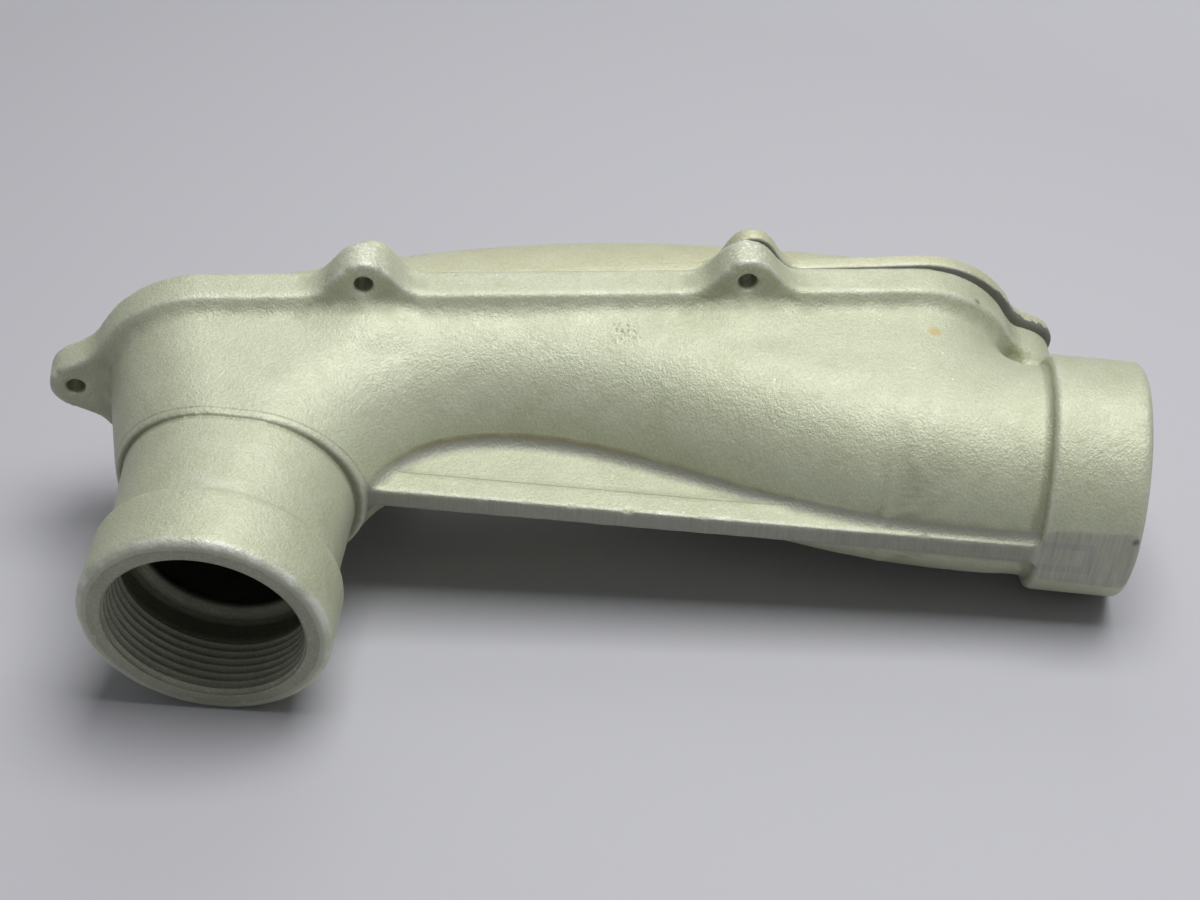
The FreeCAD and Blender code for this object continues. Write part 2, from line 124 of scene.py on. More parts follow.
# ---------------------------------------------------------------- colours
BODY_PALE, BODY_DEEP = (0.575, 0.605, 0.445, 1), (0.49, 0.52, 0.355, 1)
COVER_PALE, COVER_DEEP = (0.59, 0.60, 0.42, 1), (0.52, 0.52, 0.32, 1)
BORE_PALE, BORE_DEEP = (0.40, 0.41, 0.31, 1), (0.30, 0.31, 0.22, 1)
# painted shade: the inside of the casting is coloured near black
INSIDE_SHADE_PALE, INSIDE_SHADE_DEEP = (0.075, 0.075, 0.055, 1), (0.035, 0.035, 0.027, 1)
# the glint colour is painted highlight, for bright specks of sparkle
LIGHT_DUST, DARK_DUST, PAINTED_GLINT = (0.80, 0.82, 0.72, 1), (0.30, 0.31, 0.20, 1), (0.95, 0.95, 0.88, 1)
# the hollow colour is painted shade in concave places
# the ridge colour is worn lacquer with a painted highlight on it
WORN_AND_HIGHLIT_RIDGE, HOLLOW_SHADE = (0.74, 0.75, 0.69, 1), (0.25, 0.25, 0.16, 1)
# the root grey is partly painted shade of the fillet; the root brown is a stain
ROOT_GREY_AND_SHADE, ROOT_BROWN = (0.31, 0.31, 0.28, 1), (0.31, 0.23, 0.11, 1)
# these two lines are painted shadow under the steps of the web's rim and of the chamber's edge
RIM_STEP_SHADOW, RING_STEP_SHADOW = (0.25, 0.22, 0.13, 1), (0.17, 0.17, 0.10, 1)
# the collar colour is painted shade at the back collar's step
FAINT_LINE, COLLAR_STEP_SHADE = (0.25, 0.25, 0.15, 1), (0.24, 0.24, 0.15, 1)
GROUND_COLLAR = ((0.30, 0.31, 0.26, 1), (0.48, 0.49, 0.42, 1))
# the web's ground colours are darker than the collar's as painted shade
GROUND_WEB_SHADED = ((0.19, 0.19, 0.17, 1), (0.28, 0.28, 0.25, 1))
# the rim colour is bare metal with a painted highlight
BARE_RIM_AND_HIGHLIGHT, LIGHT_LUG_TOP = (0.84, 0.85, 0.80, 1), (0.86, 0.87, 0.82, 1)
THIN_FACE = ((0.30, 0.31, 0.27, 1), (0.50, 0.51, 0.46, 1))
# the mating grey is bare metal, darkened further as painted shade
MATING_GREY_AND_SHADE = ((0.10, 0.105, 0.10, 1), (0.19, 0.195, 0.185, 1))
OCHRE, SPECK, SCUFF = (0.55, 0.40, 0.13, 1), (0.20, 0.15, 0.08, 1), (0.14, 0.14, 0.11, 1)
PIT, TICK, FAINT_SPECK = (0.08, 0.08, 0.06, 1), (0.12, 0.11, 0.07, 1), (0.28, 0.28, 0.20, 1)
# both colours are painted shade deep in the bores
RELIEF_SHADE, THROAT_SHADE = (0.10, 0.10, 0.06, 1), (0.07, 0.07, 0.05, 1)
FLOOR, FAR_GLOW, SURROUNDINGS = (0.49, 0.49, 0.52, 1), (0.92, 0.92, 1.0, 1), (0.93, 0.94, 1.0, 1)

# ---------------------------------------------------------------- frames


def rest_matrix():
    """Casting millimetres to row metres, from the two hub mounts of the record."""
    mounts = {m["name"]: m for m in frame["record"]["mounts"]}
    x = Vector(mounts["end_hub"]["axis"])
    y = -Vector(mounts["back_hub"]["axis"])
    z = x.cross(y)
    turn = Matrix((x, y, z)).transposed()
    origin = Vector(mounts["back_hub"]["pos_m"]) - turn @ Vector((0, BACK_MOUTH, 0)) * 0.001
    return Matrix.Translation(origin) @ turn.to_4x4() @ Matrix.Scale(0.001, 4)


REST = rest_matrix()


def to_row(points):
    """Casting millimetres to row metres for an array of points."""
    m = np.array(REST)
    return points @ m[:3, :3].T + m[:3, 3]


def to_flange(x, y):
    """Casting x, y to flange s, h."""
    return x * math.cos(SLANT) + y * math.sin(SLANT), y * math.cos(SLANT) - x * math.sin(SLANT)


def from_flange(points):
    """Flange s, h, z to casting x, y, z for an array of points."""
    s, h, z = points.T
    x = s * math.cos(SLANT) - h * math.sin(SLANT)
    y = s * math.sin(SLANT) + h * math.cos(SLANT)
    return np.stack((x, y, z), axis=1)


def skew_cover(points):
    """Slide and turn of the loose cover on the flange, in the flange frame."""
    s, h, z = points.T
    c, n = math.cos(COVER_SKEW), math.sin(COVER_SKEW)
    ds = s - COVER_PIVOT
    return np.stack((COVER_PIVOT + COVER_SLIDE + c * ds - n * z, h, n * ds + c * z), axis=1)


# ---------------------------------------------------------------- distance fields


def round_union(a, b, r):
    """Union of two fields with a hollow root of radius r where they meet."""
    return np.maximum(r, np.minimum(a, b)) - np.hypot(np.maximum(r - a, 0), np.maximum(r - b, 0))


def round_cut(a, b, r):
    """Intersection of two fields with the shared edge rounded to radius r."""
    return np.minimum(-r, np.maximum(a, b)) + np.hypot(np.maximum(r + a, 0), np.maximum(r + b, 0))


def stadium(s, z, radius):
    """Field of the flange's round-ended outline along s."""
    return np.hypot(np.maximum(np.abs(s - MIDDLE) - SPAN, 0), z) - radius


def drum(axial, radial, low, high, radius, low_round, high_round):
    """Field of a turned cylinder between low and high, its two rims rounded."""
    side = radial - radius
    ends = round_cut(side, low - axial, low_round)
    return round_cut(ends, axial - high, high_round)


def smooth(t):
    """Smooth step of t clipped to 0..1."""
    t = np.clip(t, 0, 1)
    return t * t * (3 - 2 * t)


def core_outline():
    """Boundary of the chamber's core in the plane of the hub axes: everything within HALF of it is chamber.

    Right side: up the neck, round the superellipse |x/run|^2.5 + |y/rise|^2.5 = 1 of the inside bend and
    down the slope to the end tube, all set in by HALF. Left side: the heel wall, set in likewise.
    """
    right = [(2.5, -140.0), (2.5, BEND[1])]
    for angle in np.radians(np.arange(180, 89, -2.5)):
        c, n = math.cos(angle), math.sin(angle)
        rho = (abs(c / BEND_RUN) ** 2.5 + abs(n / BEND_RISE) ** 2.5) ** -0.4 + HALF
        right.append((BEND[0] + rho * c, BEND[1] + rho * n))
    for x in np.arange(106, 290, 4.0):
        low = BEND_CREST - (TUBE_R + BEND_CREST) * smooth((x - BEND[0]) / 138.0)
        right.append((x, low + HALF))
    heel_top = 30.0
    left = [(340.0, 38.8 - TUBE_R), (340.0, 140.0), (-60.0, 140.0)]
    left.append((-4.5 - math.tan(HEEL_LEAN) * (heel_top + 50), heel_top))
    left += [(-5.5, -46.0), (-4.5, -52.0), (-4.5, -140.0)]
    return np.array(right + left)


def distance_to_polygon(x, y, corners):
    """Distance from each point to a closed polygon, 0 inside it."""
    best = np.full(np.broadcast_shapes(x.shape, y.shape), 1e9)
    inside = np.zeros(np.broadcast_shapes(x.shape, y.shape), bool)
    for (ax, ay), (bx, by) in zip(corners, np.roll(corners, -1, axis=0)):
        ex, ey = bx - ax, by - ay
        t = np.clip(((x - ax) * ex + (y - ay) * ey) / (ex * ex + ey * ey + 1e-12), 0, 1)
        best = np.minimum(best, np.hypot(x - ax - t * ex, y - ay - t * ey))
        crosses = (ay > y) != (by > y)
        with np.errstate(divide="ignore", invalid="ignore"):
            inside ^= crosses & (x < ax + (y - ay) * ex / (ey if ey else 1e-12))
    return np.where(inside, 0.0, best)


def edge_line(x):
    """Height of the web's ground edge."""
    return EDGE_Y + (x - END_MOUTH) * EDGE_SLOPE


def plate_outline(s, z, radius, lug_radius, root):
    """Flange outline: the round-ended plate with six lugs on hollow roots."""
    plan = stadium(s, z, radius)
    for ls, lz in LUGS:
        plan = round_union(plan, np.hypot(s - ls, z - lz) - lug_radius, root)
    return plan


def eased(form, x, y):
    """Field evened out where the chamber's end runs into the tube, by repeated 1-2-1 means.

    The means have a reach of sqrt(rounds / 2) grid steps, and fade out towards the edges of the place.
    """
    reach = 5.5
    left, right, below, above = 226, 274, -30, 38
    near = smooth((x - left) / 14) * smooth((right - x) / 12)
    near = near * smooth((y - below) / 14) * smooth((above - y) / 12)
    along = slice(*np.searchsorted(x.ravel(), (left - 18, right + 32)))
    across = slice(*np.searchsorted(y.ravel(), (below - 20, above + 18)))
    step = x.ravel()[1] - x.ravel()[0]
    rounds = int(2 * (reach / step) ** 2)
    part = form[along, across]
    even = part
    for _ in range(rounds):
        for axis in range(3):
            even = (np.roll(even, 1, axis) + 2 * even + np.roll(even, -1, axis)) / 4
    form[along, across] = part + near[along, across] * (even - part)
    return form


def chamber_field(x, y, z, s):
    """Chamber with its elbow: hypot(c, z) - HALF, where c joins two distances with the exponent 8.

    One is the distance to the core's outline, the other the distance past the flange's straight run.
    """
    core = distance_to_polygon(x, y, core_outline())
    ends = np.maximum(np.abs(s - MIDDLE) - SPAN, 0)
    power = 8.0
    both = (core**power + ends**power) ** (1 / power)
    return np.hypot(both, z) - HALF


def neck_field(x, y, z):
    """Neck under the ring: with t from 0 at the ring to 1 at its foot, an oval that becomes round.

    The oval is flat for 3.4 (1 - t) to each side of x = -0.9 (1 - t), and its radius is HALF - 0.8 + 1.6 t.
    """
    t = np.clip((RING_Y - y) / NECK_LENGTH, 0, 1)
    run = np.maximum(np.abs(x + 0.9 * (1 - t)) - (3.4 * (1 - t) + 0.1), 0)
    neck = np.hypot(run, z) - (HALF - 0.8 + 1.6 * t)
    return np.maximum(neck, np.maximum(y + 40, -100 - y))


def tube_field(x, radial):
    """Straight tube on the end hub's axis, from within the chamber to within the collar.

    It is 0.1 slimmer than TUBE_R, so that the chamber covers it where the two run together.
    """
    return np.maximum(radial - TUBE_R + 0.1, np.maximum(TUBE_START - x, x - TUBE_END))


def hollow_field(x, y, z, outer):
    """Hollow of the casting: the outer forms one wall in, the two bushings, and the opening at the seam."""
    s, h = to_flange(x, y)
    back_radial, end_radial = np.hypot(x, z), np.hypot(y, z)
    past_throats = np.maximum(BACK_MOUTH + THROAT_DEPTH - y, x - (END_MOUTH - THROAT_DEPTH))
    inner = np.maximum(outer + WALL, past_throats)
    inner = np.minimum(inner, np.maximum(back_radial - BUSHING_R, np.maximum(BACK_MOUTH - 5 - y, y + 70)))
    inner = np.minimum(inner, np.maximum(end_radial - BUSHING_R, np.maximum(270 - x, x - END_MOUTH - 5)))
    return np.minimum(inner, np.maximum(stadium(s, z, HALF - WALL), SEAM - 14 - h))


def web_field(x, y, z):
    """Web between the hubs: |z| less its half-thickness, thinner by RIM_STEP above the rim."""
    over = edge_line(x) - y
    above_rim = smooth((-over - RIM_HEIGHT) / 1.6)
    web = np.abs(z) - (WEB_HALF - RIM_STEP * above_rim)
    web = np.maximum(web, np.maximum(WEB_START - x, x - WEB_END))
    return np.maximum(web, np.maximum(y, over))


def add_flange(form, s, h, z):
    """Form cut off under the seam, with swells behind the side lugs, the flange plate and the end boss.

    A swell is an ellipsoid, (length of the point over the half-axes - 1) times the shortest half-axis.
    """
    plate = plate_outline(s, z, FLANGE_R, LUG_R, 14.0)
    plate = round_cut(plate, FLANGE_BACK - h, 1.1)
    plate = round_cut(plate, h - SEAM, 0.8)
    form = np.maximum(form, h - SEAM + 1)
    along, high, deep = SWELL_RADII
    for ls, lz in SIDE_LUGS:
        reach = ((s - ls) / along) ** 2 + (h / high) ** 2 + ((np.abs(z) - SWELL_Z) / deep) ** 2
        swell = (np.sqrt(reach) - 1) * deep
        form = round_union(form, np.where(z * lz > 0, swell, OUTSIDE), 4.0)
    form = round_union(form, plate, 7.0)
    boss = np.hypot(s - END_LUGS[1][0], z) - LUG_R
    boss = round_cut(boss, BOSS_FOOT - h, 2.0)
    boss = np.maximum(boss, h - SEAM + 1)
    return round_union(form, boss, 7.0)


def open_bores(form, x, y, z):
    """Form with room cut for the threaded bore of each hub."""
    back_bore = np.maximum(np.hypot(x, z) - THREAD_ROOM_R, y - (BACK_MOUTH + THREAD_LENGTH))
    end_bore = np.maximum(np.hypot(y, z) - THREAD_ROOM_R, (END_MOUTH - THREAD_LENGTH) - x)
    return np.maximum(form, -np.minimum(back_bore, end_bore))


def drill_lugs(form, s, h, z):
    """Form with the screw holes; the one in the end boss is blind from the seam down to h = 0."""
    for ls, lz in LUGS:
        hole = np.hypot(s - ls, z - lz) - SCREW_HOLE_R
        if (ls, lz) == END_LUGS[1]:
            hole = np.maximum(hole, -h)
        form = round_cut(form, -hole, 0.4)
    return form


def body_field(x, y, z):
    """Distance field of the body casting on broadcast arrays of casting millimetres.

    The extra grids are the fields of the hollow, of the casting before its web, and of the web.
    """
    s, h = to_flange(x, y)
    radial = np.hypot(y, z)
    chamber = chamber_field(x, y, z, s)
    neck = neck_field(x, y, z)
    tube = tube_field(x, radial)
    inner = hollow_field(x, y, z, np.minimum(np.minimum(chamber, tube), neck))
    upper = round_cut(chamber, RING_Y - y, 0.4)
    tube_root = (2.0 + 7.0 * smooth((y - 4) / 18)) * smooth((x - 226) / 26) + 0.01
    form = eased(round_union(upper, tube, tube_root), x, y)
    form = np.minimum(form, neck)
    form = add_flange(form, s, h, z)
    back = drum(y, np.hypot(x, z), BACK_MOUTH, COLLAR_Y, BACK_R, 3.2, 3.6)
    end = drum(x, radial, SHOULDER_X, END_MOUTH, END_R, 2.2, 3.4)
    form = round_union(form, back, 0.9)
    shell = round_union(form, end, 2.8)
    web = web_field(x, y, z)
    web_root = 4.2 * smooth((y + 48.5) / 6) + 0.01
    form = round_union(shell, web, web_root)
    # the end collar is ground flat in line with the web's edge
    form = np.maximum(form, np.where(x > 270, edge_line(x) - y, -OUTSIDE))
    form = np.maximum(form, -inner)
    form = open_bores(form, x, y, z)
    form = drill_lugs(form, s, h, z)
    form = form + unevenness(x, y, z)
    for at, reach in WEB_NICKS:
        chip(form, (x, y, z), (at, edge_line(at) - 0.2, 4.4), reach)
    for at in LUG_CHIPS:
        place = from_flange(np.array([at]))[0]
        chip(form, (x, y, z), place, CHIP_REACH)
    return form, {"inner": inner, "shell": shell, "web": web}


def dome_field(s, h, z, inset):
    """Field of the dome: half-ellipse sections of half-width b(d) and rise H(d), d from the middle.

    b is constant to 128 and closes as a circle beyond it; H = DOME_RISE (1 - (d / 166)^2). The implicit
    function sqrt((z/b)^2 + (k/H)^2) - 1 is divided by the length of its gradient to give a distance.
    """
    d = np.abs(s - MIDDLE)
    closing = np.clip((d - 128) / DOME_HALF, 0, 0.93)
    b = DOME_HALF * np.sqrt(1 - closing**2) - inset
    rise = DOME_RISE * (1 - np.minimum(d / 166, 0.99) ** 2) - inset
    b, rise = np.maximum(b, 1.0), np.maximum(rise, 0.8)
    k = h - SEAM - 3
    f = np.sqrt((z / b) ** 2 + (np.maximum(k, 0) / rise) ** 2)
    slope = np.sqrt((z / b**2) ** 2 + (np.maximum(k, 0) / rise**2) ** 2 + 1e-9) / np.maximum(f, 1e-6)
    slope = np.maximum(slope, 1 / np.maximum(b, rise))
    return np.maximum((f - 1) / slope, d - (163 - inset))


def cover_field(s, h, z):
    """Distance field of the cover casting in its own flange frame: plate and dome, hollow, with six holes."""
    plate = plate_outline(s, z, FLANGE_R - 1.8, LUG_R - 1.0, 13.0)
    plate = round_cut(plate, h - SEAM - 6.6, 1.6)
    plate = round_cut(plate, SEAM - h, 0.8)
    dome = np.maximum(dome_field(s, h, z, 0.0), SEAM + 1 - h)
    form = round_union(plate, dome, 3.0)
    hollow = np.maximum(dome_field(s, h, z, DOME_WALL), SEAM - 3 - h)
    form = np.maximum(form, -hollow)
    for ls, lz in LUGS:
        form = round_cut(form, COVER_HOLE_R - np.hypot(s - ls, z - lz), 0.4)
    return form, {}


def unevenness(x, y, z):
    """Shallow waves of a sand mould, in mm: three products of sines, 11 to 27 mm long."""
    waves = 0.04 * np.sin(x / 3.1 + 1.0) * np.sin(y / 2.6 + 0.4) * np.sin(z / 2.9 + 2.0)
    waves = waves + 0.05 * np.sin(x / 1.9 + 4.0) * np.sin(y / 2.3 + 1.7) * np.sin(z / 1.8 + 0.6)
    return waves + 0.05 * np.sin(x / 4.3) * np.sin(y / 4.1 + 2.2) * np.sin(z / 3.7 + 1.1)


def chip(form, axes, place, reach):
    """Cut a rounded chip out of a field, on the part of its grid near the chip."""
    lines = [axis.ravel() for axis in axes]
    near = [np.abs(line - at) < 2 * reach + 3 for line, at in zip(lines, place)]
    x, y, z = [line[pick] - at for line, pick, at in zip(lines, near, place)]
    hole = reach - np.sqrt((0.6 * x[:, None, None]) ** 2 + y[None, :, None] ** 2 + z[None, None, :] ** 2)
    window = np.ix_(*near)
    form[window] = np.maximum(form[window], hole)


# ---------------------------------------------------------------- field to mesh


def surface_net(field, origin, step):
    """Mesh of a sampled field's zero surface: one vertex in each cell the surface passes through, at the
    mean of the crossings on the cell's edges, and one quad round each crossed grid edge."""
    sign = field < 0
    nx, ny, nz = field.shape
    total = np.zeros((nx - 1, ny - 1, nz - 1, 3), np.float32)
    count = np.zeros((nx - 1, ny - 1, nz - 1), np.float32)
    corners = [slice(0, -1), slice(1, None)]
    for axis in range(3):
        lo = [slice(None)] * 3
        hi = [slice(None)] * 3
        lo[axis], hi[axis] = slice(0, -1), slice(1, None)
        a, b = field[tuple(lo)], field[tuple(hi)]
        crossed = (a < 0) != (b < 0)
        t = np.where(crossed, a / np.where(crossed, a - b, 1), 0).astype(np.float32)
        others = [k for k in range(3) if k != axis]
        for i in range(2):
            for j in range(2):
                pick = [slice(None)] * 3
                pick[others[0]], pick[others[1]] = corners[i], corners[j]
                c = crossed[tuple(pick)]
                place = np.zeros(c.shape + (3,), np.float32)
                place[..., axis] = t[tuple(pick)]
                place[..., others[0]] = i
                place[..., others[1]] = j
                total += np.where(c[..., None], place, 0)
                count += c
    used = count > 0
    index = np.full(used.shape, -1, np.int64)
    index[used] = np.arange(used.sum())
    cells = np.argwhere(used)
    points = cells + total[used] / count[used][:, None]
    quads = []
    for axis in range(3):
        lo = [slice(1, -1)] * 3
        hi = [slice(1, -1)] * 3
        lo[axis], hi[axis] = slice(0, -1), slice(1, None)
        a, b = sign[tuple(lo)], sign[tuple(hi)]
        o1, o2 = (axis + 1) % 3, (axis + 2) % 3
        for flip, where in ((False, a & ~b), (True, ~a & b)):
            at = np.argwhere(where)
            at[:, o1] += 1
            at[:, o2] += 1
            ring = []
            for d1, d2 in ((-1, -1), (0, -1), (0, 0), (-1, 0)):
                cell = at.copy()
                cell[:, o1] += d1
                cell[:, o2] += d2
                ring.append(index[cell[:, 0], cell[:, 1], cell[:, 2]])
            quad = np.stack(ring, axis=1)
            quads.append(quad[:, ::-1] if flip else quad)
    return points * step + origin, np.concatenate(quads)


def sample(grid, points, origin, step):
    """Trilinear values of a grid at points."""
    q = (points - origin) / step
    base = np.clip(np.floor(q).astype(int), 0, np.array(grid.shape[:3]) - 2)
    part = q - base
    weights = [(1 - part[:, axis], part[:, axis]) for axis in range(3)]
    out = 0
    for i in range(2):
        for j in range(2):
            for k in range(2):
                weight = weights[0][i] * weights[1][j] * weights[2][k]
                value = grid[base[:, 0] + i, base[:, 1] + j, base[:, 2] + k]
                out = out + (weight[:, None] * value if value.ndim > 1 else weight * value)
    return out


def cast_surface(field_of, low, high, step):
    """Points, quads, normals and marks of a field between two corners.

    The points are drawn onto the zero surface. The mark "bend" is the field's Laplacian, which is high on
    ridges and low in hollows; the other marks are the field's extra grids at the points.
    """
    low, high = np.array(low, float), np.array(high, float)
    counts = np.ceil((high - low) / step).astype(int) + 1
    axes = [low[k] + step * np.arange(counts[k]) for k in range(3)]
    x, y, z = axes[0][:, None, None], axes[1][None, :, None], axes[2][None, None, :]
    field, extras = field_of(x, y, z)
    field = np.ascontiguousarray(np.broadcast_to(field, counts)).astype(np.float32)
    points, quads = surface_net(field, low, step)
    slope = np.stack(np.gradient(field, step), axis=3).astype(np.float32)
    for _ in range(3):
        g = sample(slope, points, low, step)
        value = sample(field, points, low, step)
        move = value[:, None] * g / np.maximum((g**2).sum(axis=1), 0.25)[:, None]
        points = points - np.clip(0.7 * move, -0.5 * step, 0.5 * step)
    normals = sample(slope, points, low, step)
    normals /= np.maximum(np.linalg.norm(normals, axis=1), 1e-6)[:, None]
    bend = sum(np.gradient(slope[..., k], step, axis=k) for k in range(3))
    marks = {"bend": sample(bend, points + 0.3 * step * normals, low, step)}
    for name, grid in extras.items():
        marks[name] = sample(np.ascontiguousarray(np.broadcast_to(grid, counts)), points, low, step)
    return points, quads, normals, marks


def make_object(name, points, quads, normals=None, masks=None):
    """Object from points in row metres and quads, with masks as vertex attributes, riding on the frame."""
    mesh = bpy.data.meshes.new(name)
    mesh.vertices.add(len(points))
    mesh.vertices.foreach_set("co", np.asarray(points, np.float32).ravel())
    mesh.loops.add(quads.size)
    mesh.loops.foreach_set("vertex_index", quads.ravel().astype(np.int32))
    mesh.polygons.add(len(quads))
    mesh.polygons.foreach_set("loop_start", np.arange(len(quads), dtype=np.int32) * quads.shape[1])
    mesh.update(calc_edges=True)
    mesh.validate()
    mesh.polygons.foreach_set("use_smooth", np.ones(len(mesh.polygons), bool))
    if normals is not None:
        mesh.normals_split_custom_set_from_vertices([tuple(n) for n in normals])
    for mask, values in (masks or {}).items():
        layer = mesh.attributes.new(mask, "FLOAT", "POINT")
        layer.data.foreach_set("value", np.asarray(values, np.float32))
    obj = bpy.data.objects.new(name, mesh)
    bpy.context.scene.collection.objects.link(obj)
    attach(obj, "root")
    return obj


def part_of(points, quads, normals, masks, keep):
    """The quads where keep holds, in row metres, with their points renumbered."""
    quads = quads[keep]
    used, index = np.unique(quads, return_inverse=True)
    turn = np.array([list(row) for row in REST.to_3x3()]) * 1000
    kept = {name: values[used] for name, values in masks.items()}
    return to_row(points[used]), index.reshape(quads.shape), normals[used] @ turn.T, kept


def wear_and_shade_masks(marks):
    """Marks that the paint reads: ridges, for wear and a painted highlight, hollows, for painted shade, and
    how far a point is from the shell and the web.
    """
    masks = {
        "ridge": smooth((marks["bend"] - 0.10) / 0.5),
        "hollow": smooth((-marks["bend"] - 0.06) / 0.16),
    }
    for name in ("shell", "web"):
        if name in marks:
            masks["from_" + name] = marks[name]
    return masks


def grid_step():
    """Step of the grid that a casting is sampled on."""
    return STEP


def build_body():
    """Outer skin and inner skin of the body casting, left open where the bores have surfaces of their own."""
    step = grid_step()
    points, quads, normals, marks = cast_surface(body_field, *BODY_ROOM, step)
    centre = points[quads].mean(axis=1)
    bore = np.zeros(len(quads), bool)
    for radius, depth in (
        (np.hypot(centre[:, 0], centre[:, 2]), centre[:, 1] - BACK_MOUTH),
        (np.hypot(centre[:, 1], centre[:, 2]), END_MOUTH - centre[:, 0]),
    ):
        bore |= (radius < THREAD_ROOM_R + 0.6) & (depth < THROAT_DEPTH + 0.5)
        bore |= (radius < THREAD_ROOM_R + 1.7) & (depth < 1.5)
    hidden = np.abs(marks["inner"][quads].mean(axis=1)) < 0.6 * step
    masks = wear_and_shade_masks(marks)
    outside = make_object("body_skin", *part_of(points, quads, normals, masks, ~bore & ~hidden))
    inside = make_object("body_hollow", *part_of(points, quads, normals, masks, ~bore & hidden))
    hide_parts("conduit_body")
    return outside, inside


def build_cover():
    """Skin of the cover casting, slid and turned on the flange as it lies."""
    points, quads, normals, marks = cast_surface(cover_field, *COVER_ROOM, grid_step())
    laid = from_flange(skew_cover(points))
    normals = from_flange(skew_cover(points + normals)) - laid
    every = np.ones(len(quads), bool)
    skin = make_object("cover_skin", *part_of(laid, quads, normals, wear_and_shade_masks(marks), every))
    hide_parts("cover")
    return skin


def bore_rows(turns, angle):
    """Rows of the bore's surface as depth and radii round the bore, from the hub's face inwards.

    With tri a triangle wave, the thread is r = crest + GROOVE_DEPTH tri(depth / PITCH + angle / 2 pi) and
    crest = 34.0 - depth / 32. It starts at the mouth's radius and fades out into the relief behind it. Then
    come the rounded lip of the bushing and the throat that flares into the hollow.
    """
    rows = [(-0.03, 39.3), (-0.03, 35.2), (0.0, THREAD_MOUTH_R)]
    for depth in np.concatenate((np.arange(0.4, 26.2, 0.16), [26.6, 28.5, 30.5, 31.4])):
        crest = 34.0 - depth / 32
        phase = (depth / PITCH + angle / (2 * np.pi)) % 1.0
        ridge = np.clip(1.35 - np.abs(phase - 0.5) * 3.2, 0, 1)
        fade = smooth((24.5 - depth) / 3.0)
        start = smooth(depth / 0.9)
        cut = THREAD_MOUTH_R * (1 - start) + (crest + GROOVE_DEPTH * (1 - ridge)) * start
        rows.append((depth, cut * fade + 34.7 * (1 - fade)))
    lip = 3.2
    for turn in np.radians(np.arange(0, 91, 11.25)):
        rows.append((31.8 + lip * math.sin(turn), BUSHING_R + lip * math.cos(turn)))
    rows += [(37.6, BUSHING_R), (THROAT_DEPTH + 0.1, BUSHING_R + 0.5), (40.5, BUSHING_R + 1.9)]
    return [(depth, np.broadcast_to(radius, turns)) for depth, radius in rows]


def bore_surface(name, mouth, hub):
    """Threaded bore of a hub: the rows of bore_rows laid round the hub's axis, inwards from its mouth."""
    turns = 288
    angle = np.linspace(0, 2 * np.pi, turns, endpoint=False)
    rows = bore_rows(turns, angle)
    points = []
    for depth, radius in rows:
        if hub == "back":
            axial = np.full(turns, mouth + depth)
            points.append(np.stack((radius * np.cos(angle), axial, radius * np.sin(angle)), axis=1))
        else:
            axial = np.full(turns, mouth - depth)
            points.append(np.stack((axial, radius * np.sin(angle), radius * np.cos(angle)), axis=1))
    i = np.arange(len(rows) - 1)[:, None] * turns
    j = np.arange(turns)[None, :]
    k = (j + 1) % turns
    quads = np.stack((i + j, i + k, i + turns + k, i + turns + j), axis=2).reshape(-1, 4)
    return make_object(name, to_row(np.concatenate(points)), quads[:, ::-1] if hub == "back" else quads)


# ---------------------------------------------------------------- camera, floor, light


def build_camera():
    """Camera before the side with the web, a little past the middle, looking 35.4 degrees down."""
    cam = bpy.data.cameras.new("camera")
    obj = bpy.data.objects.new("camera", cam)
    bpy.context.scene.collection.objects.link(obj)
    forward = Vector((-0.07088, 0.81188, -0.57950)).normalized()
    right = Vector((0.996325, 0.085636, -0.001886))
    right = (right - forward * right.dot(forward)).normalized()
    turn = Matrix((right, right.cross(forward), -forward)).transposed().to_4x4()
    obj.matrix_world = Matrix.Translation((0.18174, -0.56204, 0.48237)) @ turn
    cam.sensor_width = 36.0
    cam.lens = 67.61
    bpy.context.scene.camera = obj


def build_floor():
    """Plain pale floor under the casting, lightened far out for camera and glossy rays alone."""
    mesh = bpy.data.meshes.new("floor")
    half, z = 9, cad_low.z
    corners = [(-half, -half, z), (half, -half, z), (half, half, z), (-half, half, z)]
    mesh.from_pydata(corners, [], [(0, 1, 2, 3)])
    floor = bpy.data.objects.new("floor", mesh)
    bpy.context.scene.collection.objects.link(floor)
    mat = bpy.data.materials.new("floor")
    mat.use_nodes = True
    shader = mat.node_tree.nodes["Principled BSDF"]
    shader.inputs["Base Color"].default_value = FLOOR
    shader.inputs["Roughness"].default_value = 0.6
    n = Nodes(mat.node_tree)
    coords = n.add("ShaderNodeTexCoord").outputs["Object"]
    away = n.add("ShaderNodeVectorMath", {"operation": "LENGTH"}, i0=coords).outputs["Value"]
    paths = n.add("ShaderNodeLightPath").outputs
    seen = n.math("ADD", paths["Is Camera Ray"], paths["Is Glossy Ray"], clamp=True)
    far = n.math("MULTIPLY", n.span(away, 0.6, 2.2, 0.0, 0.5), seen)
    mat.node_tree.links.new(far, shader.inputs["Emission Strength"])
    shader.inputs["Emission Color"].default_value = FAR_GLOW
    mesh.materials.append(mat)


def area_light(name, place, aim, size, power):
    """Square soft light at a place, aimed at a point."""
    data = bpy.data.lights.new(name, "AREA")
    data.energy = power
    data.size = size
    obj = bpy.data.objects.new(name, data)
    bpy.context.scene.collection.objects.link(obj)
    obj.location = place
    obj.rotation_euler = (Vector(aim) - Vector(place)).to_track_quat("-Z", "Y").to_euler()


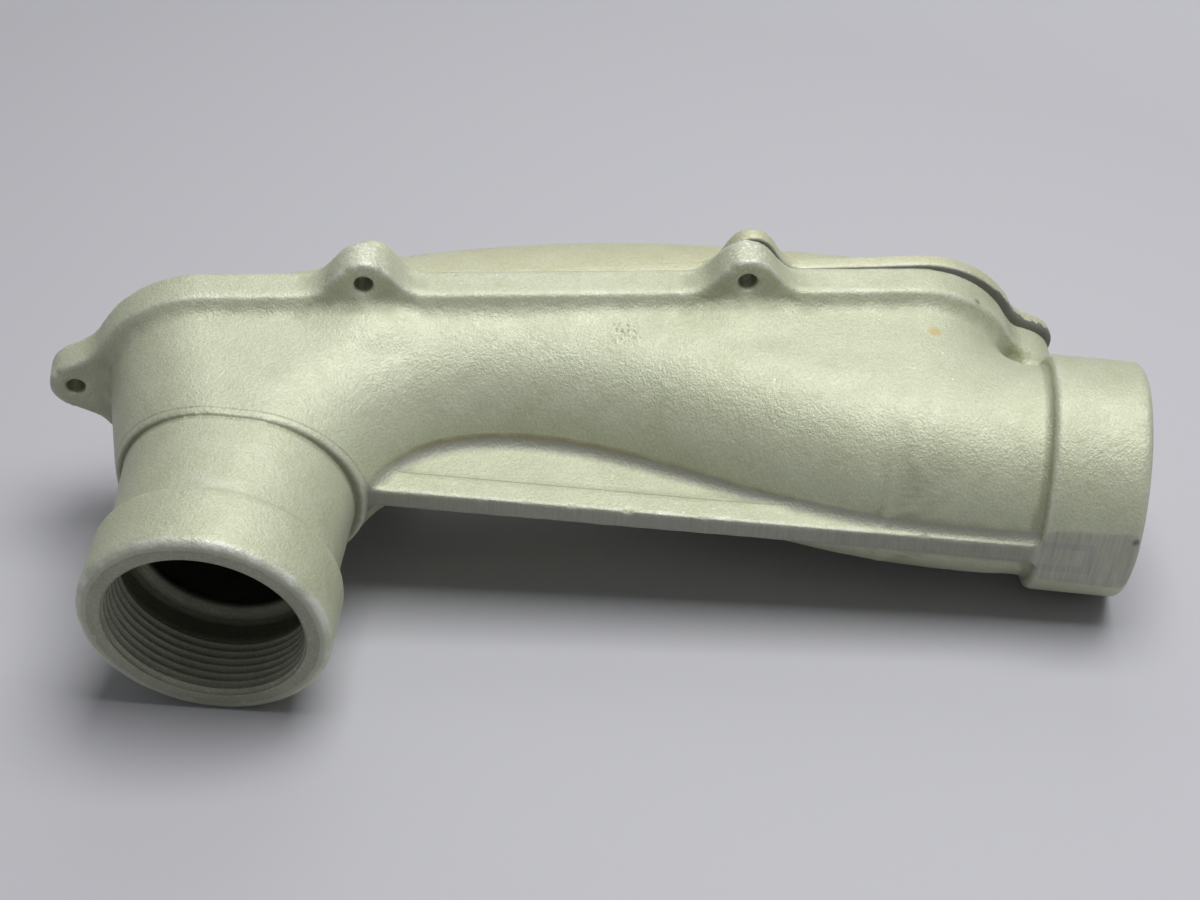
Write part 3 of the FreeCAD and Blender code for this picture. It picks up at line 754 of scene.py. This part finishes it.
def build_light():
    """Broad soft key high above the right side, a weaker light far behind, and dim pale surroundings."""
    middle = (0.12, 0.1, 0.0)
    area_light("key", (0.40, 0.10, 1.38), middle, 0.95, 20.5)
    area_light("back", (0.1, 1.2, 0.9), middle, 0.9, 2.5)
    world = bpy.data.worlds.new("studio")
    bpy.context.scene.world = world
    world.use_nodes = True
    background = world.node_tree.nodes["Background"]
    background.inputs["Color"].default_value = SURROUNDINGS
    background.inputs["Strength"].default_value = 0.16
    bpy.context.scene.view_settings.view_transform = "Standard"


# ---------------------------------------------------------------- finish


class Nodes:
    """Short way to lay out a node tree."""

    def __init__(self, tree):
        self.tree = tree

    def add(self, kind, settings=None, **inputs):
        """A node with settings, its inputs given as values or sockets (underscores stand for spaces)."""
        node = self.tree.nodes.new(kind)
        for key, value in (settings or {}).items():
            setattr(node, key, value)
        for key, value in inputs.items():
            socket = node.inputs[int(key[1:])] if key[0] == "i" and key[1:].isdigit() else None
            socket = socket or node.inputs[key.replace("_", " ")]
            if isinstance(value, bpy.types.NodeSocket):
                self.tree.links.new(value, socket)
            else:
                socket.default_value = value
        return node

    def noise(self, coords, scale, detail, rough):
        """Noise value, scale waves to each unit of the coordinates."""
        node = self.add("ShaderNodeTexNoise", Vector=coords, Scale=scale, Detail=detail, Roughness=rough)
        return node.outputs["Fac"]

    def math(self, operation, a, b=0.0, clamp=False):
        """One step of arithmetic."""
        node = self.add("ShaderNodeMath", {"operation": operation, "use_clamp": clamp}, i0=a, i1=b)
        return node.outputs[0]

    def span(self, value, low, high, to_low=0.0, to_high=1.0):
        """Value mapped from one range to another, clipped."""
        node = self.add("ShaderNodeMapRange", i0=value, i1=low, i2=high, i3=to_low, i4=to_high)
        return node.outputs[0]

    def blend(self, factor, a, b):
        """Mix of two colours."""
        node = self.add("ShaderNodeMix", {"data_type": "RGBA"})
        for slot, value in ((0, factor), (6, a), (7, b)):
            if isinstance(value, bpy.types.NodeSocket):
                self.tree.links.new(value, node.inputs[slot])
            else:
                node.inputs[slot].default_value = value
        return node.outputs[2]

    def mask(self, name):
        """Vertex attribute of the mesh."""
        return self.add("ShaderNodeAttribute", {"attribute_name": name}).outputs["Fac"]


def grain_group():
    """Sand-cast surface under lacquer, from object coordinates, given the depth of its bump.

    It puts out the bumped normal, a cloudy value, rare painted glints that stand in for sparkle,
    light and dark dust, a shift of roughness and patches.
    """
    tree = bpy.data.node_groups.new("cast_grain", "ShaderNodeTree")
    tree.interface.new_socket("Normal", in_out="OUTPUT", socket_type="NodeSocketVector")
    for name in ("Cloud", "PaintedGlint", "Dust", "Rough", "Patch"):
        tree.interface.new_socket(name, in_out="OUTPUT", socket_type="NodeSocketFloat")
    tree.interface.new_socket("Depth", in_out="INPUT", socket_type="NodeSocketFloat")
    n = Nodes(tree)
    given = n.add("NodeGroupInput")
    coords = n.add("ShaderNodeTexCoord").outputs["Object"]
    turned_about = n.add("ShaderNodeMapping", Vector=coords, Rotation=(0.4, 0.7, 0.2)).outputs[0]
    # height: sand, orange peel, pits and long swells
    pits = n.add("ShaderNodeTexVoronoi", Vector=turned_about, Scale=420.0).outputs["Distance"]
    height = n.math("MULTIPLY", n.noise(turned_about, 1150, 3, 0.7), 0.62)
    height = n.math("ADD", height, n.math("MULTIPLY", n.noise(turned_about, 480, 2, 0.5), 0.40))
    height = n.math("ADD", height, n.math("MULTIPLY", n.span(pits, 0.0, 0.25), 0.10))
    height = n.math("ADD", height, n.math("MULTIPLY", n.noise(coords, 60, 2, 0.5), 0.20))
    bump = n.add("ShaderNodeBump", Height=height, Strength=given.outputs["Depth"], Distance=0.0006)
    # cloud: broad shade with a finer one in it
    broad = n.math("MULTIPLY", n.noise(coords, 9, 3, 0.55), 0.55)
    cloud = n.math("ADD", broad, n.math("MULTIPLY", n.noise(turned_about, 85, 3, 0.6), 0.45))
    # painted glint: bright specks of painted highlight at the middles of a few cells, in clusters
    cells = n.add("ShaderNodeTexVoronoi", Vector=turned_about, Scale=620.0)
    chance = n.add("ShaderNodeSeparateColor", i0=cells.outputs["Color"]).outputs[0]
    clusters = n.span(n.noise(turned_about, 28, 2, 0.5), 0.50, 0.56)
    painted_glint = times(n, n.span(chance, 0.965, 0.975), n.span(cells.outputs["Distance"], 0.30, 0.10), clusters)
    outputs = {
        "Normal": bump.outputs[0],
        "Cloud": cloud,
        "PaintedGlint": painted_glint,
        "Dust": n.span(n.noise(turned_about, 1250, 2, 0.7), 0.30, 0.70, -1.0, 1.0),
        "Rough": n.span(n.noise(turned_about, 120, 3, 0.6), 0.3, 0.7, -0.5, 0.5),
        "Patch": n.span(n.noise(turned_about, 95, 3, 0.65), 0.42, 0.62),
    }
    group_out = n.add("NodeGroupOutput")
    for socket, value in outputs.items():
        tree.links.new(value, group_out.inputs[socket])
    return tree


def casting_millimetres(n):
    """Object coordinates turned back into the casting frame: the vector and its x, y and z."""
    back = (REST.to_3x3() * 1000).transposed()
    shift = -(back @ REST.translation) * 1000
    coords = n.add("ShaderNodeTexCoord").outputs["Object"]
    vector = n.add("ShaderNodeMapping", Vector=coords, Location=shift, Rotation=back.to_euler("XYZ"),
                   Scale=(1000, 1000, 1000)).outputs[0]
    return vector, n.add("ShaderNodeSeparateXYZ", Vector=vector).outputs


def line_across(n, distance, width):
    """1 on a line, falling to 0 at its width from it."""
    return n.span(n.math("ABSOLUTE", distance), width, 0.35 * width)


def spot(n, vector, place, reach):
    """1 at a place, fading out to 0 at its reach."""
    away = n.add("ShaderNodeVectorMath", {"operation": "DISTANCE"}, i0=vector, i1=place).outputs["Value"]
    return n.span(away, reach, 0.3 * reach)


def times(n, *values):
    """Product of several masks."""
    product = values[0]
    for value in values[1:]:
        product = n.math("MULTIPLY", product, value)
    return product


def lacquer(name, pale, deep, grain):
    """Pale metallic lacquer on a sand casting: its material, nodes, grain and colour before the marks, with
    painted glints, worn ridges with a painted highlight and painted shade in hollows.
    """
    mat = bpy.data.materials.new(name)
    mat.use_nodes = True
    n = Nodes(mat.node_tree)
    shader = mat.node_tree.nodes["Principled BSDF"]
    cast = n.add("ShaderNodeGroup", {"node_tree": grain}, Depth=0.85).outputs
    colour = n.blend(n.span(cast["Cloud"], 0.36, 0.64), deep, pale)
    light = n.math("MULTIPLY", cast["Dust"], 0.24, clamp=True)
    dark = n.math("MULTIPLY", cast["Dust"], -0.24, clamp=True)
    colour = n.blend(light, colour, LIGHT_DUST)
    colour = n.blend(dark, colour, DARK_DUST)
    # painted highlight: glint specks lighten the colour towards near white
    colour = n.blend(times(n, cast["PaintedGlint"], 0.8), colour, PAINTED_GLINT)
    # ridges: lacquer worn off, and lightened further as a painted highlight on the edges
    worn = times(n, n.mask("ridge"), n.span(cast["Patch"], 0.0, 1.0, 0.15, 0.60))
    colour = n.blend(worn, colour, WORN_AND_HIGHLIT_RIDGE)
    # painted shade: concave places darkened where shade falls
    colour = n.blend(times(n, n.mask("hollow"), 0.55), colour, HOLLOW_SHADE)
    rough = n.math("ADD", n.math("MULTIPLY", cast["Rough"], 0.14), 0.46)
    mat.node_tree.links.new(rough, shader.inputs["Roughness"])
    mat.node_tree.links.new(cast["Normal"], shader.inputs["Normal"])
    shader.inputs["Metallic"].default_value = 0.25
    return mat, n, cast, colour


def give_colour(mat, colour):
    """Link a colour to the material's shader."""
    mat.node_tree.links.new(colour, mat.node_tree.nodes["Principled BSDF"].inputs["Base Color"])


def stain_and_shade_web_root(n, colour, x, patch):
    """The web's root: a greyish hollow, partly grey tint and partly painted shade, with a broken brown line
    on the chamber's side.
    """
    from_web, from_shell = n.mask("from_web"), n.mask("from_shell")
    in_root = times(n, n.span(from_web, 4.0, 3.2), n.span(from_web, 0.1, 0.7), n.span(from_shell, 4.8, 3.8),
                    n.span(x, 44, 50))
    # grey band in the web's root: partly a grey tint, partly painted shade of the fillet
    colour = n.blend(times(n, in_root, 0.65), colour, ROOT_GREY_AND_SHADE)
    brown = line_across(n, n.math("SUBTRACT", from_web, 3.9), 1.3)
    brown = times(n, brown, n.span(from_shell, 2.2, 1.2), n.span(x, 46, 60), n.span(x, 200, 120))
    return n.blend(times(n, brown, n.span(patch, 0.0, 1.0, 0.40, 0.60)), colour, ROOT_BROWN)


def line_steps(n, colour, x, y, z, patch):
    """Dark lines in the steps, as painted shadow over the web's rim, at the chamber's edge and at the back
    collar, with a faint line above the chamber's edge.
    """
    rim_step = n.math("SUBTRACT", y, n.math("ADD", n.math("MULTIPLY", x, 0.0139), -36.2))
    from_face = n.math("ABSOLUTE", n.math("SUBTRACT", z, 3.9))
    on_face = times(n, n.span(from_face, 1.2, 0.8), n.span(x, 46, 52))
    # painted shadow under the step over the web's rim, brownish
    colour = n.blend(times(n, line_across(n, rim_step, 0.42), on_face, 0.6), colour, RIM_STEP_SHADOW)
    on_neck = n.span(x, 44, 42)
    # painted shadow under the chamber's overhanging edge at the ring
    edge = line_across(n, n.math("ADD", y, -RING_Y + 0.35), 0.62)
    colour = n.blend(times(n, edge, on_neck, 0.75), colour, RING_STEP_SHADOW)
    above = line_across(n, n.math("ADD", y, -RING_Y - 2.7), 0.5)
    above = times(n, above, on_neck, n.span(patch, 0, 1, 0.35, 0.6))
    colour = n.blend(above, colour, FAINT_LINE)
    # painted shade where the back collar steps out from the neck
    collar = line_across(n, n.math("ADD", y, -COLLAR_Y), 0.6)
    return n.blend(times(n, collar, n.span(x, 50, 48), 0.35), colour, COLLAR_STEP_SHADE)


def grind_edge(n, colour, vector, x, y):
    """Ground edge of the web and flat of the end collar, streaked across, darker on the web as painted shade.
    """
    line = n.math("ADD", n.math("MULTIPLY", x, EDGE_SLOPE), EDGE_Y - END_MOUTH * EDGE_SLOPE)
    ground = times(n, n.span(n.math("SUBTRACT", y, line), 0.75, 0.35), n.span(x, 43, 45))
    across = n.add("ShaderNodeMapping", Vector=vector, Scale=(0.9, 0.04, 0.05)).outputs[0]
    streaks = n.span(n.noise(across, 1.0, 4, 0.7), 0.32, 0.68)
    on_collar = n.blend(streaks, *GROUND_COLLAR)
    on_web_shaded = n.blend(streaks, *GROUND_WEB_SHADED)
    # painted shade: the web's ground edge gets the darker streaks
    bare = n.blend(times(n, n.span(x, 279, 278), 0.9), on_collar, on_web_shaded)
    return n.blend(times(n, ground, 0.7), colour, bare)


def wear_and_highlight_back_hub(n, colour, vector, y, z, cast):
    """Lacquer worn off the rim of the back hub, with a painted highlight that grows towards its top, and thin
    on its face.
    """
    flattened = n.add("ShaderNodeVectorMath", {"operation": "MULTIPLY"}, i0=vector, i1=(1, 0, 1)).outputs[0]
    reach = n.add("ShaderNodeVectorMath", {"operation": "LENGTH"}, i0=flattened).outputs["Value"]
    from_rim = n.math("ABSOLUTE", n.math("ADD", y, -BACK_MOUTH - 1.2))
    # worn rim, brighter towards the top as a painted highlight
    on_rim_lit = times(n, n.span(from_rim, 2.0, 0.6), n.span(reach, 40.2, 41.2), n.span(z, -20, 34, 0.2, 1.0))
    on_rim_lit = times(n, on_rim_lit, n.span(cast["Patch"], 0, 1, 0.15, 0.75))
    colour = n.blend(on_rim_lit, colour, BARE_RIM_AND_HIGHLIGHT)
    on_face = times(n, n.span(n.math("ADD", y, -BACK_MOUTH), 0.5, 0.2), n.span(reach, 42.0, 40.5))
    thin = n.blend(cast["Cloud"], *THIN_FACE)
    return n.blend(times(n, on_face, 0.45), colour, thin)


def spot_body(n, colour, vector):
    """Lighter tops of the two near side lugs, then stains, specks and scuffs, each fading at its reach."""
    fine = n.span(n.noise(vector, 0.9, 3, 0.7), 0.52, 0.60)
    smeared = n.span(n.noise(vector, 0.4, 4, 0.8), 0.42, 0.66)
    # the tops of the near side lugs are made lighter
    lug_tops = np.array([(ls, 12.5, SIDE_LUG_Z + LUG_R - 1.5) for ls, lz in SIDE_LUGS if lz > 0])
    marks = [(tuple(top), 12.0, times(n, fine, 0.75), LIGHT_LUG_TOP) for top in from_flange(lug_tops)]
    marks += [
        ((238.8, 27.6, 38.2), 3.4, 0.75, OCHRE),
        ((128.2, 12.0, 37.4), 7.5, times(n, fine, 0.8), SPECK),
        ((22.9, 13.0, 47.3), 5.5, times(n, smeared, 0.6), SCUFF),
        ((312.0, -40.8, 10.8), 2.0, 0.7, PIT),
        ((254.6, 47.3, 36.6), 1.8, 0.6, TICK),
        ((-6.0, -88.0, 42.5), 9.0, times(n, fine, 0.25), FAINT_SPECK),
    ]
    for place, reach, strength, tint in marks:
        colour = n.blend(times(n, spot(n, vector, place, reach), strength), colour, tint)
    return colour


def build_body_paint(grain):
    """Lacquer of the body with its stains, lines, ground edge and wear."""
    mat, n, cast, colour = lacquer("cast_paint", BODY_PALE, BODY_DEEP, grain)
    vector, (x, y, z) = casting_millimetres(n)
    colour = stain_and_shade_web_root(n, colour, x, cast["Patch"])
    colour = line_steps(n, colour, x, y, z, cast["Patch"])
    colour = grind_edge(n, colour, vector, x, y)
    colour = wear_and_highlight_back_hub(n, colour, vector, y, z, cast)
    colour = spot_body(n, colour, vector)
    give_colour(mat, colour)
    return mat


def build_cover_paint(grain):
    """Lacquer of the cover, a shade yellower than the body's, and its bare grey mating face, darkened further
    as painted shade.

    The lacquer's edge is straight at the seam and jagged at the end lug.
    """
    mat, n, cast, colour = lacquer("cover_paint", COVER_PALE, COVER_DEEP, grain)
    vector, (x, y, _) = casting_millimetres(n)
    rise = n.math("SUBTRACT", n.math("MULTIPLY", y, math.cos(SLANT)), n.math("MULTIPLY", x, math.sin(SLANT)))
    jagged = n.span(n.noise(vector, 0.35, 2, 0.6), 0.42, 0.58, 0.8, 2.2)
    at_end_lug = n.span(x, 262, 270)
    above = n.math("SUBTRACT", n.math("SUBTRACT", rise, SEAM + 0.2), n.math("MULTIPLY", jagged, at_end_lug))
    mating = n.span(above, 0.45, 0.0)
    # mating face: bare grey metal, darkened further as painted shade
    grey = n.blend(cast["Cloud"], *MATING_GREY_AND_SHADE)
    give_colour(mat, n.blend(times(n, mating, 0.92), colour, grey))
    return mat


def build_bore_finish(grain):
    """Finish of the threaded bores: thin dull lacquer, with painted shade in the throat and the relief before
    it.
    """
    mat, n, _, colour = lacquer("bore_finish", BORE_PALE, BORE_DEEP, grain)
    _, (x, y, _) = casting_millimetres(n)
    back_depth = n.math("ADD", y, -BACK_MOUTH)
    end_depth = n.math("ADD", n.math("MULTIPLY", x, -1.0), END_MOUTH)
    depth = n.math("MINIMUM", back_depth, end_depth)
    # painted shade in the relief behind the thread
    relief = times(n, n.span(depth, 23.5, 25.5), n.span(depth, 33.0, 31.5))
    colour = n.blend(times(n, relief, 0.75), colour, RELIEF_SHADE)
    # painted shade in the throat, where the bore opens into the dark hollow
    throat = n.span(depth, 35.5, 37.5)
    give_colour(mat, n.blend(times(n, throat, 0.85), colour, THROAT_SHADE))
    return mat


def build_inside_shade(grain):
    """Dull finish inside the casting, near black as painted shade."""
    mat = bpy.data.materials.new("inside_shade")
    mat.use_nodes = True
    n = Nodes(mat.node_tree)
    shader = mat.node_tree.nodes["Principled BSDF"]
    cast = n.add("ShaderNodeGroup", {"node_tree": grain}, Depth=0.6).outputs
    give_colour(mat, n.blend(cast["Cloud"], INSIDE_SHADE_DEEP, INSIDE_SHADE_PALE))
    mat.node_tree.links.new(cast["Normal"], shader.inputs["Normal"])
    shader.inputs["Roughness"].default_value = 0.7
    return mat


build_camera()
build_floor()
build_light()
grain = grain_group()
paint = build_body_paint(grain)
cover_paint = build_cover_paint(grain)
# the inside's material, near black as painted shade
dull = build_inside_shade(grain)
bore_finish = build_bore_finish(grain)
outside, inside = build_body()
cover = build_cover()
bores = [bore_surface("back_bore", BACK_MOUTH, "back"), bore_surface("end_bore", END_MOUTH, "end")]
for piece, finish in [(outside, paint), (inside, dull)] + [(bore, bore_finish) for bore in bores]:
    piece.data.materials.append(finish)
cover.data.materials.append(cover_paint)
